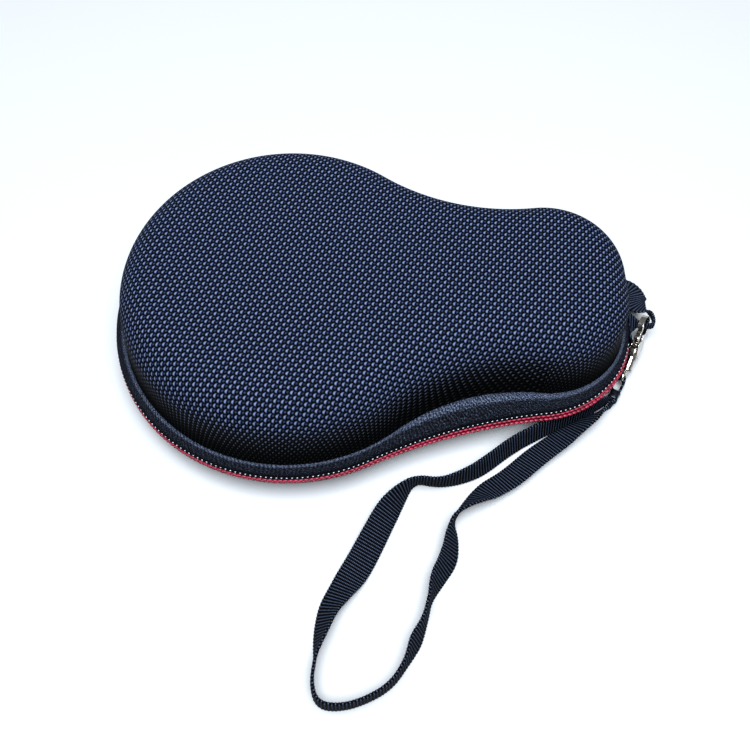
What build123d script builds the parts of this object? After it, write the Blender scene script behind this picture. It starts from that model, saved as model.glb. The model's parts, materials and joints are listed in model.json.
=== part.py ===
"""Hard moulded case for a table-tennis bat: two laminated shells closed by a coil zipper,
a fabric hinge and carry loop at the handle end, and a wrist strap on a swivel clasp.

Millimetres. The origin is on the flat underside, below the centre of the blade circle.
+X points along the handle to the hinge, +Z up through the lid.
"""

import os
from math import atan2, cos, degrees, radians, sin, sqrt, tan

from build123d import *

# ---- outline of the rim, where the halves meet ----
case_length = 290.0
blade_radius = 99.5
rim_corner_radius = 58.0
rim_corner_offset = 5.7  # half of the straight end
rim_neck_radius = 290.0

# ---- outline of the moulded walls, which rise inside the rim ----
flange_width = 6.5
end_flange_width = 5.5
wall_corner_radius = 45.0
wall_corner_offset = 7.5
wall_neck_radius = 110.0
wall_taper = 5.0  # degrees of draft

# ---- the two halves ----
lower_depth = 20.0
upper_depth = 51.0
lower_crown = 12.0
upper_crown = 21.0
flange_height = 8.0  # top of the flange above the parting plane

# ---- thickness of the layers ----
fabric_thick = 0.6
foam_thick = 3.4
lining_thick = 0.5
binding_thick = 0.6
tape_thick = 0.6
glue_gap = 0.1  # between laminated layers
flange_foam_thick = 2.0
binding_inside = 3.8  # height of the binding that covers the seam inside

# ---- zipper chain ----
chain_gap = 0.1  # from the parting plane to each coil
coil_height = 1.7
coil_width = 2.0
stitch_row_height = 1.7
stitch_row_inset = 0.5
stop_length = 2.3
rim_edge_gap = 2.3  # from the rim in to the edge of the flange foam
binding_inset = 1.3  # from the rim in to the face of the edge binding
binding_drop = 3.8  # the binding's lower edge above the parting plane

# ---- fabric hinge and the ends of the chain, as places across the case ----
hinge_near = -18.0
hinge_far = 21.0
upper_chain_start = 38.0
hinge_strip_thick = 0.7
hinge_strip_height = 7.4
hinge_inset = 1.2  # from the rim in to the line that the strip folds on
sewing_gap = 0.1
chain_cut = 32.0  # height of a cut that clears the whole chain

# ---- slider and its pull ----
slider_angle = 25.0  # parked place on the far corner, from +X
slider_length = 11.0
slider_height = 8.4
slider_plate = 1.3
slider_clear = 0.4  # from the chain to each plate
slider_rounding = 1.0
wedge_length = 3.0
wedge_height = 1.6
bridge_out = 3.0  # how far the bridge stands out from the front plate
bridge_height = 3.0
bridge_thick = 1.2
bridge_length = 7.0
pull_thick = 1.2
pull_width = 6.5
pull_length = 24.0
pull_pin = 1.1
pull_tip_radius = 2.1
pull_slot_width = 2.2
pull_lean = 3.0  # degrees that the pull leans in towards the case

# ---- carry loop ----
loop_width = 12.0
loop_thick = 1.4
loop_top = 3.0  # above the parting plane
loop_far = 20.0
loop_near = -3.0
loop_reach = 17.4  # from the end of the rim out to the bend
loop_lean = 1.5  # how much less it reaches on the far side
loop_far_bend = 7.5
loop_near_bend = 3.0
loop_gather = 6.0  # height of the webbing where the hook holds it
loop_gather_length = 11.0

# ---- clasp, along its own axis from the eye to the hook ----
eye_inside = 3.3  # from the end of the rim in to the centre of the eye
eye_across = -33.0
eye_height = 5.0
hook_outside = 11.1  # from the end of the rim out to the centre of the hook
hook_across = -2.6
hook_drop = 6.0  # of the hook's centre below the parting plane
eye_radius = 3.8
eye_wire = 0.9
stem_radius = 1.3
stem_head_radius = 1.9
swivel_clear = 0.06
barrel_start = 6.0
barrel_radius = 3.0
barrel_length = 9.0
barrel_overlap = 3.0  # how far the barrel runs into the body
head_place = 11.4
head_length = 1.6
hook_ring_radius = 7.0
hook_hole_radius = 4.5
clasp_thick = 5.2
clasp_width = 8.6
clasp_roll = -18.0  # degrees; the gate leans towards the case
ring_thick = 2.6
lever_pivot = 22.0
lever_height = 3.0  # of the pivot above the clasp's axis
lever_thick = 2.0
lever_width = 2.8
lever_clear = 0.2
lever_boss_radius = 1.4
lever_pin_radius = 0.8
tip_overlap = 1.6
thumb_length = 3.0
thumb_rise = 3.2
spring_radius = 1.1
spring_wire = 0.3
spring_turns = 3

# ---- wrist strap ----
strap_width = 15.0
strap_thick = 1.6
strap_lift = 0.3  # of its lower edge above the surface
eye_loop_height = 3.0
eye_loop_thick = 1.2
eye_loop_space = 2.3  # half of the space between its legs
eye_loop_bend = 3.0  # place of the fold's centre, from the centre of the eye
strap_leg_space = 1.6  # from the crimp's axis to each leg of the strap
bend_share = 0.45  # of the shorter run that a bend may take up
crimp_start = 8.0  # from the centre of the eye
crimp_length = 7.0
crimp_height = 9.0
crimp_thick = 0.9
crimp_heading = (-5.3, -8.2)

end_x = case_length - blade_radius
hinge_x = end_x - hinge_inset
rim_corner_x = end_x - rim_corner_radius
draft = tan(radians(wall_taper))
shell_thick = fabric_thick + foam_thick + lining_thick + 2 * glue_gap
stack_top = flange_height - binding_thick
fabric_base = stack_top - fabric_thick
foam_base = fabric_base - flange_foam_thick
coil_top = chain_gap + coil_height
tape_low = chain_gap + coil_height / 2
stitch_top = coil_top + stitch_row_height
eye_place = (end_x - eye_inside, eye_across, eye_height)
hook_place = (end_x + hook_outside, hook_across, lower_depth - hook_drop)


def pear(blade_r, tip_x, corner_r, corner_y, neck_r, mode=Mode.ADD):
    """Fill a gourd outline: blade circle, neck arcs, corner arcs and a short straight end."""
    corner = Vector(tip_x - corner_r, corner_y)
    from_blade = blade_r + neck_r
    from_corner = corner_r + neck_r
    span = corner.length
    along = (from_blade**2 - from_corner**2 + span**2) / (2 * span)
    aside = sqrt(from_blade**2 - along**2)
    forward = corner.normalized()
    neck = forward * along + Vector(-forward.Y, forward.X) * aside
    blade_touch = degrees(atan2(neck.Y, neck.X))
    corner_touch = degrees(atan2(neck.Y - corner.Y, neck.X - corner.X))
    with BuildLine() as outline:
        CenterArc((0, 0), blade_r, blade_touch, 180 - blade_touch)
        CenterArc((neck.X, neck.Y), neck_r, corner_touch + 180, blade_touch - corner_touch)
        CenterArc((corner.X, corner.Y), corner_r, 0, corner_touch)
        Line((tip_x, corner_y), (tip_x, 0))
        mirror(about=Plane.XZ)
    make_face(outline.edges(), mode=mode)


def rim(inset, mode=Mode.ADD):
    """The rim outline, drawn in by inset."""
    pear(
        blade_radius - inset,
        end_x - inset,
        rim_corner_radius - inset,
        rim_corner_offset,
        rim_neck_radius + inset,
        mode,
    )


def wall(inset, mode=Mode.ADD):
    """The moulded wall's outline at the top of the flange, drawn in by inset."""
    pear(
        blade_radius - flange_width - inset,
        end_x - end_flange_width - inset,
        wall_corner_radius - inset,
        wall_corner_offset,
        wall_neck_radius + inset,
        mode,
    )


def level(side, height):
    """A plane at a height from the parting plane, up for side 1 and down for side -1."""
    return Plane((0, 0, lower_depth + side * height), x_dir=(1, 0, 0), z_dir=(0, 0, side))


def ring(side, low, high, outer, inner):
    """A flat band between two outlines, each given as (outline, inset)."""
    with BuildPart() as band:
        with BuildSketch(level(side, low)):
            outer[0](outer[1])
            inner[0](inner[1], mode=Mode.SUBTRACT)
        extrude(amount=high - low)
    return band.part


def wall_inset(height, inset):
    """How far in the drafted wall's outline is at a height, for a layer inset from its face."""
    return (height - flange_height) * draft + inset / cos(radians(wall_taper))


def dome(side, low, inset):
    """The closed body inside one moulded wall, inset from its outer face."""
    depth = upper_depth if side > 0 else lower_depth
    crown = upper_crown if side > 0 else lower_crown
    with BuildPart() as body:
        with BuildSketch(level(side, low)):
            wall(wall_inset(low, inset))
        extrude(amount=depth - inset - low, taper=wall_taper)
        top = body.faces().sort_by(Axis.Z)[-1 if side > 0 else 0]
        fillet(top.edges(), crown - inset)
    return body.part


def across(low, high, mode):
    """Cut away, or keep, what lies between two places across the case at the handle end."""
    with Locations((end_x, (low + high) / 2, lower_depth)):
        Box(2 * rim_corner_radius, high - low, chain_cut, mode=mode)


def chain_stop(side, start):
    """The block at one end of the coil, clear of the slider's wedge."""
    with BuildPart() as stop:
        add(ring(side, tape_low, coil_top, (rim, 0), (rim, coil_width)))
        across(start, start + stop_length, Mode.INTERSECT)
    return stop.part


def save(piece, name):
    piece.label = name
    export_step(piece, f"parts/{name}.step")


os.makedirs("parts", exist_ok=True)

# ---- the two halves, each laminated from fabric, foam and lining ----
foam_inset = fabric_thick + glue_gap
lining_inset = foam_inset + foam_thick + glue_gap
sleeve_inset = shell_thick + glue_gap + binding_thick

for side, half in ((1, "upper"), (-1, "lower")):
    with BuildPart() as outer_fabric:
        add(dome(side, fabric_base, 0))
        add(ring(side, fabric_base, stack_top, (rim, rim_edge_gap), (wall, fabric_thick / 2)))
        add(dome(side, fabric_base, fabric_thick), mode=Mode.SUBTRACT)
    save(outer_fabric.part, f"{half}_outer_fabric")

    flange = (rim, rim_edge_gap), (wall, foam_thick / 2)
    with BuildPart() as foam_shell:
        add(dome(side, foam_base, foam_inset))
        add(ring(side, foam_base, fabric_base - glue_gap, *flange))
        add(dome(side, foam_base, foam_inset + foam_thick), mode=Mode.SUBTRACT)
    save(foam_shell.part, f"{half}_foam_shell")

    with BuildPart() as lining:
        add(dome(side, foam_base, lining_inset))
        add(dome(side, foam_base, lining_inset + lining_thick), mode=Mode.SUBTRACT)
    save(lining.part, f"{half}_lining")

    # knitted binding, wrapped over the flange and down to the chain
    with BuildPart() as edge_binding:
        foot = wall, wall_inset(stack_top, 0) - sewing_gap
        add(ring(side, stack_top, flange_height, (rim, binding_inset), foot))
        add(
            ring(
                side,
                binding_drop,
                stack_top,
                (rim, binding_inset),
                (rim, binding_inset + binding_thick),
            )
        )
    save(edge_binding.part, f"{half}_edge_binding")

    # binding tape over the raw edges inside
    binding_low = foam_base - tape_thick
    with BuildPart() as inner_binding:
        with BuildSketch(level(side, binding_low)):
            wall(wall_inset(binding_low, shell_thick + glue_gap))
        extrude(amount=binding_inside, taper=wall_taper)
        with BuildSketch(level(side, binding_low)):
            wall(wall_inset(binding_low, sleeve_inset))
        extrude(amount=binding_inside, taper=wall_taper, mode=Mode.SUBTRACT)
    save(inner_binding.part, f"{half}_inner_binding")

    # zipper tape: flat under the flange, then turned down behind the coil
    chain_end = upper_chain_start if side > 0 else hinge_far
    limb = (rim, coil_width), (rim, coil_width + tape_thick)
    flat = (rim, coil_width), (wall, wall_inset(foam_base, shell_thick))
    with BuildPart() as zipper_tape:
        add(ring(side, tape_low, foam_base - glue_gap, *limb))
        across(hinge_near, chain_end, Mode.SUBTRACT)
        add(ring(side, foam_base - tape_thick, foam_base - glue_gap, *flat))
    save(zipper_tape.part, f"{half}_zipper_tape")

    # the coil stops short of the slider's wedge on the lower half
    wedge_place = slider_angle - degrees((slider_length / 2 - wedge_length) / rim_corner_radius)
    past_wedge = rim_corner_offset + rim_corner_radius * sin(radians(wedge_place)) + slider_clear
    coil_end = upper_chain_start if side > 0 else past_wedge - stop_length
    with BuildPart() as coil:
        add(ring(side, chain_gap, coil_top, (rim, 0), (rim, coil_width)))
        across(hinge_near - stop_length, coil_end + stop_length, Mode.SUBTRACT)
    save(coil.part, f"{half}_coil")

    # stitched row that sews the coil to its tape
    with BuildPart() as coil_stitching:
        add(ring(side, coil_top, stitch_top, (rim, stitch_row_inset), (rim, coil_width)))
        across(hinge_near, chain_end, Mode.SUBTRACT)
    save(coil_stitching.part, f"{half}_coil_stitching")

    with BuildPart() as end_stops:
        for start in (hinge_near - stop_length, chain_end):
            add(chain_stop(side, start))
    save(end_stops.part, f"{half}_end_stops")

# ---- fabric hinge ----
outer_strip_inset = binding_inset - sewing_gap - hinge_strip_thick
with BuildPart() as hinge_outer_strip:
    add(
        ring(
            1,
            -hinge_strip_height,
            hinge_strip_height,
            (rim, outer_strip_inset),
            (rim, outer_strip_inset + hinge_strip_thick),
        )
    )
    across(hinge_near + sewing_gap, hinge_far - sewing_gap, Mode.INTERSECT)
save(hinge_outer_strip.part, "hinge_outer_strip")

# the inner strip lies over the inner bindings of both halves
inner_strip_reach = foam_base + binding_inside / 2
inner_strip_inset = sleeve_inset + wall_inset(inner_strip_reach, 0) + sewing_gap
with BuildPart() as hinge_inner_strip:
    add(
        ring(
            1,
            -inner_strip_reach,
            inner_strip_reach,
            (wall, inner_strip_inset),
            (wall, inner_strip_inset + hinge_strip_thick),
        )
    )
    across(hinge_near, hinge_far, Mode.INTERSECT)
save(hinge_inner_strip.part, "hinge_inner_strip")

# ---- carry loop: webbing on edge, sewn to the hinge strip at both ends ----
far_run = loop_far - loop_thick / 2
near_run = loop_near + loop_thick / 2
with BuildPart() as carry_loop:
    with BuildSketch(level(1, loop_top - loop_width)):
        with BuildLine() as loop_path:
            FilletPolyline(
                (rim_corner_x, far_run),
                (end_x + loop_reach - loop_lean, far_run),
                (end_x + loop_reach, near_run),
                (rim_corner_x, near_run),
                radius=[loop_far_bend, loop_near_bend],
            )
        trace(line_width=loop_thick)
        rim(outer_strip_inset - sewing_gap, mode=Mode.SUBTRACT)
    extrude(amount=loop_width)
    # gathered where it passes through the hook
    with Locations(
        (end_x + loop_reach, loop_near, lower_depth + loop_top - loop_width + loop_gather)
    ):
        Box(
            2 * loop_gather_length,
            2 * loop_gather_length,
            loop_width,
            align=(Align.CENTER, Align.CENTER, Align.MIN),
            mode=Mode.SUBTRACT,
        )
save(carry_loop.part, "carry_loop")

# ---- slider, parked on the far corner of the rim ----
slider_middle = Vector(rim_corner_x, rim_corner_offset)
front_face = rim_corner_radius + slider_clear + slider_plate
back_face = rim_corner_radius - coil_width - tape_thick - slider_clear
back_height = 2 * (foam_base - tape_thick - slider_clear)
bridge_face = front_face + bridge_out
half_slider = degrees(slider_length / 2 / rim_corner_radius)
half_bridge = degrees(bridge_length / 2 / bridge_face)
leg_angle = degrees(bridge_thick / bridge_face)


def sector(inner, outer, start, stop, height, rounding=0.0):
    """A curved plate about the middle of the rim's far corner, centred on the parting plane."""
    with BuildPart() as curved:
        with BuildSketch(level(1, -height / 2)):
            with BuildLine():
                CenterArc(slider_middle, (inner + outer) / 2, start, stop - start)
            trace(line_width=outer - inner)
        extrude(amount=height)
        if rounding:
            ends = curved.edges().filter_by(GeomType.LINE).filter_by(Axis.Z, reverse=True)
            fillet(ends, rounding)
    return curved.part


with BuildPart() as slider_body:
    low_angle = slider_angle - half_slider
    high_angle = slider_angle + half_slider
    span = low_angle, high_angle
    add(sector(front_face - slider_plate, front_face, *span, slider_height, slider_rounding))
    add(sector(back_face - slider_plate, back_face, *span, back_height, slider_rounding))
    wedge_angle = low_angle + degrees(wedge_length / rim_corner_radius)
    add(sector(back_face, front_face - slider_plate, low_angle, wedge_angle, wedge_height))
    for bridge_end in (-1, 1):
        leg = slider_angle + bridge_end * (half_bridge - leg_angle / 2)
        add(
            sector(front_face, bridge_face, leg - leg_angle / 2, leg + leg_angle / 2, bridge_height)
        )
    low_angle = slider_angle - half_bridge
    high_angle = slider_angle + half_bridge
    add(sector(bridge_face - bridge_thick, bridge_face, low_angle, high_angle, bridge_height))
save(slider_body.part, "slider_body")

# the pull's cross bar turns between the bridge and the front plate
pin_radius = (front_face + bridge_face - bridge_thick) / 2
pin_place = slider_middle + Vector(
    pin_radius * cos(radians(slider_angle)), pin_radius * sin(radians(slider_angle))
)
pull_heading = radians(slider_angle + 90 + pull_lean)
pull_plane = Plane(
    (pin_place.X, pin_place.Y, lower_depth),
    x_dir=(cos(pull_heading), sin(pull_heading), 0),
    z_dir=(sin(pull_heading), -cos(pull_heading), 0),
)
yoke_open = bridge_length / 2 + bridge_thick
with BuildPart() as slider_pull:
    with BuildSketch(pull_plane.offset(-pull_thick / 2)):
        with Locations((-pull_pin / 2, 0)):
            Rectangle(pull_length, pull_width, align=(Align.MIN, Align.CENTER))
        with Locations((-pull_pin / 2, 0)):
            Rectangle(
                yoke_open + pull_pin / 2,
                bridge_height + 2 * slider_clear,
                align=(Align.MIN, Align.CENTER),
                mode=Mode.SUBTRACT,
            )
        with Locations((pull_length - pull_width, 0)):
            SlotOverall(pull_width, pull_slot_width, mode=Mode.SUBTRACT)
    extrude(amount=pull_thick)
    tip = slider_pull.edges().filter_by(Axis((0, 0, 0), pull_plane.z_dir))
    fillet(tip.sort_by(Axis((0, 0, 0), pull_plane.x_dir))[-2:], pull_tip_radius)
    with Locations((pin_place.X, pin_place.Y, lower_depth)):
        Cylinder(pull_pin / 2, pull_width)
save(slider_pull.part, "slider_pull")

# ---- swivel clasp, drawn in its own plane: x from the eye to the hook, y up through the gate ----
clasp_axis = Vector(hook_place) - Vector(eye_place)
hook_at = clasp_axis.length
level_side = clasp_axis.cross(Vector(0, 0, 1))
clasp_side = level_side.rotate(Axis((0, 0, 0), clasp_axis), clasp_roll)
clasp_plane = Plane(eye_place, x_dir=clasp_axis, z_dir=clasp_side)


def turned(radius, start, length, mode=Mode.ADD):
    """A round length of the clasp about its own axis."""
    with BuildSketch(Plane(clasp_plane.from_local_coords((start, 0, 0)), z_dir=clasp_axis)) as disc:
        Circle(radius)
    extrude(disc.sketch, amount=length, mode=mode)


def plate(thick):
    """The clasp's middle plane, lowered by half a thickness."""
    return clasp_plane.offset(-thick / 2)


barrel_end = barrel_start + barrel_length
body_end = hook_at - hook_hole_radius
half_width = clasp_width / 2
gate_low = lever_thick / 2
with BuildPart() as clasp_hook:
    turned(barrel_radius, barrel_start, barrel_length + barrel_overlap)
    with BuildSketch(plate(clasp_thick)):
        with BuildLine():
            Polyline(
                (barrel_end, -barrel_radius),
                (lever_pivot - lever_thick, -half_width),
                (body_end + lever_thick, -half_width),
                (body_end + lever_thick, half_width),
                (lever_pivot - lever_thick, half_width),
                (barrel_end, barrel_radius),
                close=True,
            )
        make_face()
        with Locations((hook_at, 0)):
            Circle(hook_ring_radius, mode=Mode.SUBTRACT)
    extrude(amount=clasp_thick)
    with BuildSketch(plate(ring_thick)):
        with Locations((hook_at, 0)):
            Circle(hook_ring_radius)
    extrude(amount=ring_thick)
    with BuildSketch(plate(clasp_thick)):
        with Locations((hook_at, 0)):
            Circle(hook_hole_radius)
        # the mouth that the gate closes
        with Locations((body_end - lever_thick, gate_low)):
            Rectangle(hook_hole_radius, hook_ring_radius, align=(Align.MIN, Align.MIN))
    extrude(amount=clasp_thick, mode=Mode.SUBTRACT)
    with BuildSketch(plate(lever_width + 2 * lever_clear)):
        with Locations((lever_pivot - lever_thick, -gate_low)):
            Rectangle(
                body_end - lever_pivot + 2 * lever_thick,
                clasp_width,
                align=(Align.MIN, Align.MIN),
            )
    extrude(amount=lever_width + 2 * lever_clear, mode=Mode.SUBTRACT)
    with BuildSketch(plate(clasp_width)):
        with Locations((lever_pivot, lever_height)):
            Circle(lever_pin_radius)
    extrude(amount=clasp_width, mode=Mode.SUBTRACT)
    turned(stem_radius + swivel_clear, barrel_start, barrel_length, Mode.SUBTRACT)
    turned(
        stem_head_radius + swivel_clear,
        head_place - swivel_clear,
        head_length + 2 * swivel_clear,
        Mode.SUBTRACT,
    )
save(clasp_hook.part, "clasp_hook")

# the gate, its pin and the spring that holds it shut
with BuildPart() as clasp_lever:
    with BuildSketch(plate(lever_width)):
        with Locations((lever_pivot, lever_height - lever_thick / 2)):
            Rectangle(
                hook_at - hook_hole_radius + lever_thick + tip_overlap - lever_pivot,
                lever_thick,
                align=(Align.MIN, Align.MIN),
            )
        with Locations((lever_pivot, lever_height)):
            Circle(lever_boss_radius)
        with Locations((lever_pivot + lever_thick, lever_height)):
            Rectangle(thumb_length, thumb_rise, align=(Align.MIN, Align.MIN))
        with Locations((lever_pivot, lever_height)):
            Circle(lever_pin_radius + swivel_clear, mode=Mode.SUBTRACT)
    extrude(amount=lever_width)
save(clasp_lever.part, "clasp_lever")

with BuildPart() as clasp_lever_pin:
    with BuildSketch(plate(clasp_thick)):
        with Locations((lever_pivot, lever_height)):
            Circle(lever_pin_radius)
    extrude(amount=clasp_thick)
save(clasp_lever_pin.part, "clasp_lever_pin")

spring_space = lever_height - lever_thick / 2 + gate_low
spring_height = spring_space - 2 * spring_wire - 2 * sewing_gap
with BuildPart() as clasp_spring:
    with BuildLine() as spring_path:
        Helix(
            spring_height / spring_turns,
            spring_height,
            spring_radius,
            center=clasp_plane.from_local_coords(
                (lever_pivot + thumb_length, sewing_gap + spring_wire - gate_low, 0)
            ),
            direction=clasp_plane.y_dir,
        )
    with BuildSketch(spring_path.line ^ 0):
        Circle(spring_wire)
    sweep()
save(clasp_spring.part, "clasp_spring")

# eye for the strap, with its stem riveted over inside the barrel
with BuildPart() as swivel_eye:
    with Locations(clasp_plane):
        Torus(eye_radius, eye_wire)
    turned(stem_radius, eye_radius, head_place + head_length - eye_radius)
    turned(stem_head_radius, head_place, head_length)
save(swivel_eye.part, "swivel_eye")

# ---- crimp and the fold of webbing that goes round the eye, lying level ----
crimp_plane = Plane(eye_place, x_dir=(*crimp_heading, 0), z_dir=(0, 0, 1))
leg_place = eye_loop_space + eye_loop_thick / 2
with BuildPart() as strap_eye_loop:
    with BuildSketch(crimp_plane.offset(-eye_loop_height / 2)):
        with BuildLine():
            leg_end = crimp_start + crimp_length / 2
            Line((leg_end, leg_place), (eye_loop_bend, leg_place))
            CenterArc((eye_loop_bend, 0), leg_place, 90, 180)
            Line((eye_loop_bend, -leg_place), (leg_end, -leg_place))
        trace(line_width=eye_loop_thick)
    extrude(amount=eye_loop_height)
save(strap_eye_loop.part, "strap_eye_loop")

crimp_space = 2 * leg_place + eye_loop_thick + 2 * sewing_gap
crimp_mouth = Plane(
    crimp_plane.from_local_coords((crimp_start, 0, 0)),
    x_dir=crimp_plane.y_dir,
    z_dir=crimp_plane.x_dir,
)
with BuildPart() as strap_crimp:
    with BuildSketch(crimp_mouth):
        RectangleRounded(crimp_space + 2 * crimp_thick, crimp_height, 2 * crimp_thick)
        Rectangle(crimp_space, crimp_height - 2 * crimp_thick, mode=Mode.SUBTRACT)
    extrude(amount=crimp_length)
save(strap_crimp.part, "strap_crimp")

# ---- wrist strap: webbing laid on the surface from the crimp, out, round and back ----
strap_begins = crimp_start + crimp_length + strap_thick / 2
crimp_exit = crimp_plane.from_local_coords((strap_begins, 0, 0))
leg_offset = crimp_plane.y_dir * strap_leg_space
strap_start = crimp_exit - leg_offset
strap_end = crimp_exit + leg_offset
strap_route = [
    (strap_start.X, strap_start.Y),
    (164.0, -58.0),
    (140.0, -67.0),
    (112.0, -79.0),
    (88.0, -92.0),
    (67.0, -93.0),
    (53.0, -107.0),
    (42.0, -131.0),
    (26.0, -154.0),
    (16.5, -178.0),
    (11.5, -192.0),
    (16.5, -204.0),
    (28.5, -210.0),
    (42.5, -207.0),
    (55.0, -196.5),
    (64.5, -180.0),
    (70.5, -164.0),
    (74.5, -147.0),
    (86.0, -129.0),
    (91.0, -110.0),
    (109.0, -101.0),
    (128.0, -87.5),
    (148.0, -73.5),
    (168.5, -61.5),
    (strap_end.X, strap_end.Y),
]


def bend_radii(route):
    """For each corner, the largest radius that its two runs leave room for."""
    radii = []
    for before, here, after in zip(route, route[1:], route[2:]):
        arriving = Vector(*here) - Vector(*before)
        leaving = Vector(*after) - Vector(*here)
        turn = radians(arriving.get_angle(leaving))
        radii.append(bend_share * min(arriving.length, leaving.length) / tan(turn / 2))
    return radii


strap_radii = bend_radii(strap_route)
with BuildPart() as wrist_strap:
    with BuildSketch(Plane.XY.offset(strap_lift)):
        with BuildLine() as strap_line:
            FilletPolyline(*strap_route, radius=strap_radii)
        trace(line_width=strap_thick)
    extrude(amount=strap_width)
save(wrist_strap.part, "wrist_strap")

strap_length = sum(edge.length for edge in strap_line.edges())
section_volume = strap_length * strap_thick * strap_width
lever_place = clasp_plane.from_local_coords((lever_pivot, lever_height, 0))
print("lid hinge", hinge_x, lower_depth)
print("slider", slider_middle, pin_place)
print("clasp", clasp_plane.x_dir, clasp_plane.z_dir, lever_place)
print("strap radii", [round(r, 1) for r in strap_radii])
print(f"strap length {strap_length:.1f}, volume share {wrist_strap.part.volume / section_volume:.4f}")
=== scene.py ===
"""Looks of a zip case for a table-tennis bat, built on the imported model. Metres throughout."""

import json
from math import atan2, cos, pi, radians, sin, sqrt, tan

import bmesh
import bpy
import numpy as np
from mathutils import Matrix, Vector


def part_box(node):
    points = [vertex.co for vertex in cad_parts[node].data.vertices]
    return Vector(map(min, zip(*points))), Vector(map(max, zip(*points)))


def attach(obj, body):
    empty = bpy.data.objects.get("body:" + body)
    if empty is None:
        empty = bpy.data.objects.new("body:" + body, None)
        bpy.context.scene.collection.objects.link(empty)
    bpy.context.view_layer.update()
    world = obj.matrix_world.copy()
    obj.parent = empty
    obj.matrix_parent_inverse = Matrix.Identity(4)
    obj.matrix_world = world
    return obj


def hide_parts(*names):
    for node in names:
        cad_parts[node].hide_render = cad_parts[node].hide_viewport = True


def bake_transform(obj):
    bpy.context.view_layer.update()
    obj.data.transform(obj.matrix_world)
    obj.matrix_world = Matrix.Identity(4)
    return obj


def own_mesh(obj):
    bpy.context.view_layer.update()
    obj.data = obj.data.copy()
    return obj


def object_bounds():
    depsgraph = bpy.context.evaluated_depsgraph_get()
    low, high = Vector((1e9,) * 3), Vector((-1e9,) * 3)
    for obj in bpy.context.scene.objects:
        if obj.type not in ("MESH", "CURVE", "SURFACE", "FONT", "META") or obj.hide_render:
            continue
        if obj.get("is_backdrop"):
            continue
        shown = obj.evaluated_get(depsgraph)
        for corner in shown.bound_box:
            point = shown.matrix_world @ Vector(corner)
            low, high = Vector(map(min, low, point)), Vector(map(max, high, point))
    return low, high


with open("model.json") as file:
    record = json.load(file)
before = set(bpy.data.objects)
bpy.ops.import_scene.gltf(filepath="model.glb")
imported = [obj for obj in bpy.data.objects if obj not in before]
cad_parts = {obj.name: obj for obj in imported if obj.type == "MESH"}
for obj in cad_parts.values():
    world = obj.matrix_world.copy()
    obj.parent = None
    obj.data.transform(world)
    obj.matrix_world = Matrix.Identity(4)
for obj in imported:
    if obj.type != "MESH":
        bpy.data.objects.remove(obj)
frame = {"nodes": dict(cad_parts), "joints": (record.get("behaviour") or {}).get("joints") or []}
cad_low, cad_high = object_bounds()
scene = bpy.context.scene
MM = 0.001

# ---------------------------------------------------------------- camera and light
camera_data = bpy.data.cameras.new("camera")
camera_data.lens = 45.07
camera_data.sensor_width = 36.0
camera_data.clip_start = 0.01
camera = bpy.data.objects.new("camera", camera_data)
scene.collection.objects.link(camera)
scene.camera = camera
# the camera looks down on the case from in front of its near side, angles in radians
yaw, pitch, roll = 0.0356, 1.062, 0.0229
ahead = Vector((sin(yaw) * cos(pitch), cos(yaw) * cos(pitch), -sin(pitch)))
level_right = Vector((cos(yaw), -sin(yaw), 0))
level_up = level_right.cross(ahead)
right = cos(roll) * level_right + sin(roll) * level_up
above = cos(roll) * level_up - sin(roll) * level_right
turn = Matrix((right, above, -ahead)).transposed().to_4x4()
camera.matrix_world = Matrix.Translation((0.0370, -0.2886, 0.4732)) @ turn


def light(name, kind, place, target, power, size=1.0, colour=(1, 1, 1)):
    """A lamp at a place, turned to look at a target."""
    data = bpy.data.lights.new(name, kind)
    data.energy = power
    data.color = colour
    if kind == "AREA":
        data.size = size
    lamp = bpy.data.objects.new(name, data)
    lamp.location = place
    lamp.rotation_euler = (Vector(target) - Vector(place)).to_track_quat("-Z", "Y").to_euler()
    scene.collection.objects.link(lamp)


light("top_softbox", "AREA", (0.05, -0.35, 1.5), (0.05, 0, 0.05), 130, 1.1, (0.9, 0.95, 1.0))
world = bpy.data.worlds.new("studio")
scene.world = world
world.use_nodes = True
world.node_tree.nodes["Background"].inputs["Color"].default_value = (0.95, 0.97, 1.0, 1)
world.node_tree.nodes["Background"].inputs["Strength"].default_value = 0.26
scene.view_settings.view_transform = "Standard"


# ---------------------------------------------------------------- materials
def colour(code):
    """An sRGB hex colour as linear RGBA."""
    parts = [int(code[i : i + 2], 16) / 255 for i in (0, 2, 4)]
    linear = [c / 12.92 if c <= 0.04045 else ((c + 0.055) / 1.055) ** 2.4 for c in parts]
    return (*linear, 1.0)


def add(tree, kind, inputs=None, stops=(), **settings):
    """Add a node with its settings.

    Its inputs are values, nodes or sockets, and a colour ramp has stops of (place, hex)."""
    node = tree.nodes.new(kind)
    for name, value in settings.items():
        setattr(node, name, value)
    for key, value in (inputs or {}).items():
        if isinstance(value, bpy.types.Node):
            value = value.outputs[0]
        if isinstance(value, bpy.types.NodeSocket):
            tree.links.new(value, node.inputs[key])
        else:
            node.inputs[key].default_value = value
    if stops:
        elements = node.color_ramp.elements
        while len(elements) < len(stops):
            elements.new(0.5)
        for element, (place, code) in zip(elements, stops):
            element.position = place
            element.color = colour(code)
    return node


def material(name, **shader):
    """A material with a Principled shader, its flat values set on the sockets."""
    made = bpy.data.materials.new(name)
    made.use_nodes = True
    tree = made.node_tree
    principled = tree.nodes["Principled BSDF"]
    for key, value in shader.items():
        principled.inputs[key.replace("_", " ")].default_value = value
    return made, tree, principled


def surface(tree, principled, tone, height=None, depth=0.0, strength=1.0):
    """Give the shader its tone, and the bump of a height whose depth is in millimetres."""
    tree.links.new(tone.outputs[0], principled.inputs["Base Color"])
    if height is not None:
        bump = add(tree, "ShaderNodeBump", {"Height": height, "Strength": strength, "Distance": depth * MM})
        tree.links.new(bump.outputs[0], principled.inputs["Normal"])


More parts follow.
